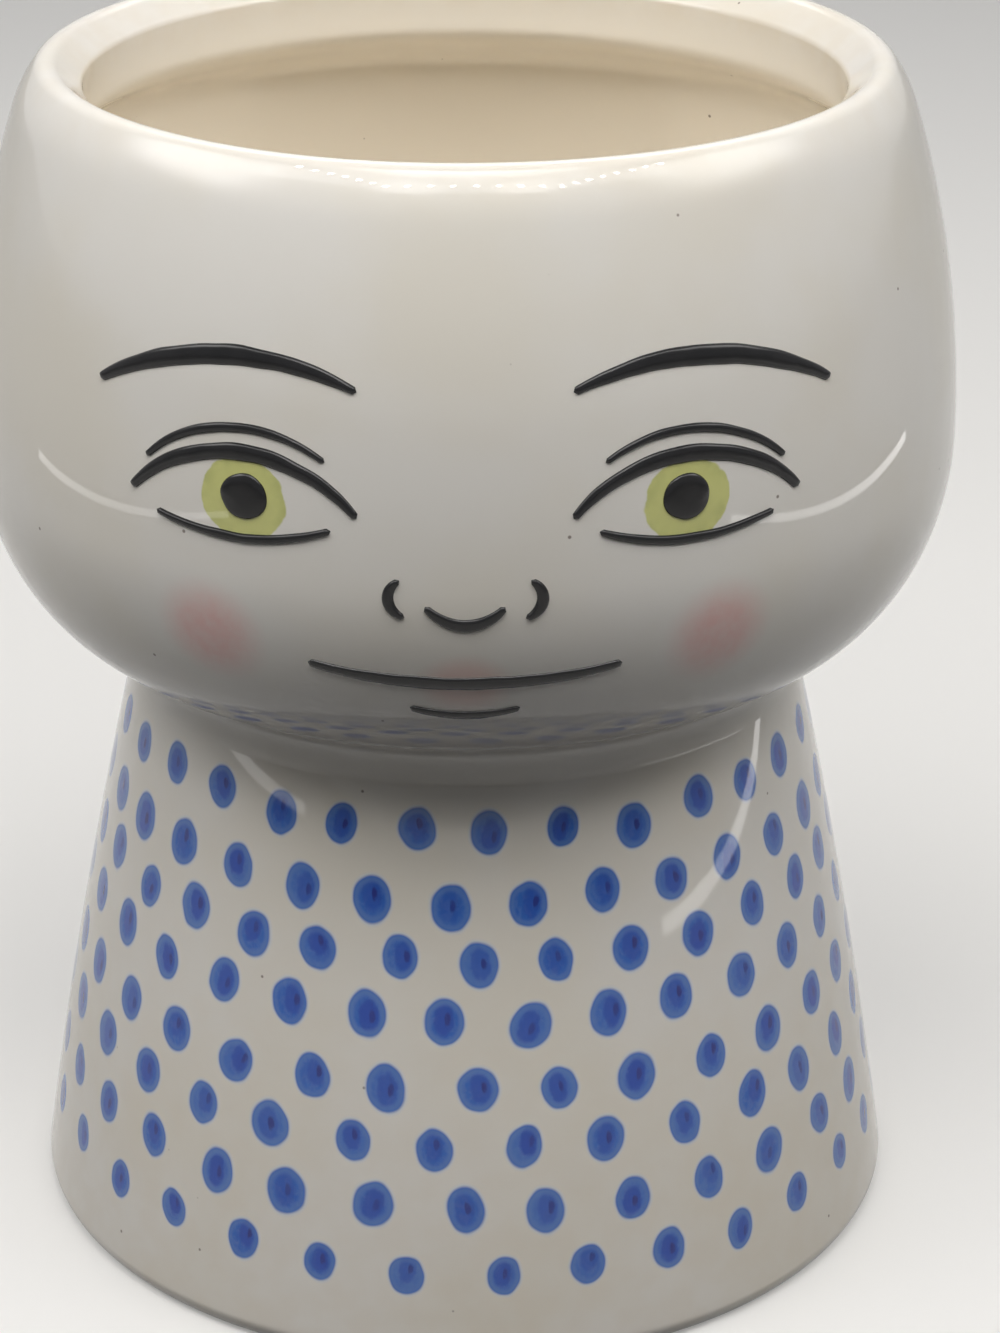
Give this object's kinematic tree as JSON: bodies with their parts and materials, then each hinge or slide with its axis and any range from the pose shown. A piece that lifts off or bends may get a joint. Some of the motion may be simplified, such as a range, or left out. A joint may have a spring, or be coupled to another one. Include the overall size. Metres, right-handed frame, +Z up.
{
  "type": "face vase",
  "caption": "Ceramic vase: a wide round head bowl with a plain brush-line face, luted to a flared spotted torso, hollow from the mouth down to the floor.",
  "frame": {"origin": "on the vase's axis in the plane that the foot ring rests on", "axes": "+Z up along the vase's axis, -Y out of the face, +X to the right of someone looking at the face"},
  "size_m": [0.1254, 0.1257, 0.1543],
  "materials": {
    "head_glaze": "glossy warm white glaze",
    "torso_glaze": "glossy warm white glaze over staggered rows of blue brush dabs",
    "enamel": "glossy black raised enamel"
  },
  "bodies": {
    "root": {"head_bowl": "head_glaze", "torso_shell": "torso_glaze", "neck_seam": "head_glaze", "brow_left": "enamel", "brow_right": "enamel", "lid_crease_left": "enamel", "lid_crease_right": "enamel", "upper_lid_left": "enamel", "upper_lid_right": "enamel", "lower_lid_left": "enamel", "lower_lid_right": "enamel", "pupil_left": "enamel", "pupil_right": "enamel", "nostril_left": "enamel", "nostril_right": "enamel", "nose_line": "enamel", "mouth_line": "enamel", "lower_lip_line": "enamel"}
  },
  "joints": []
}
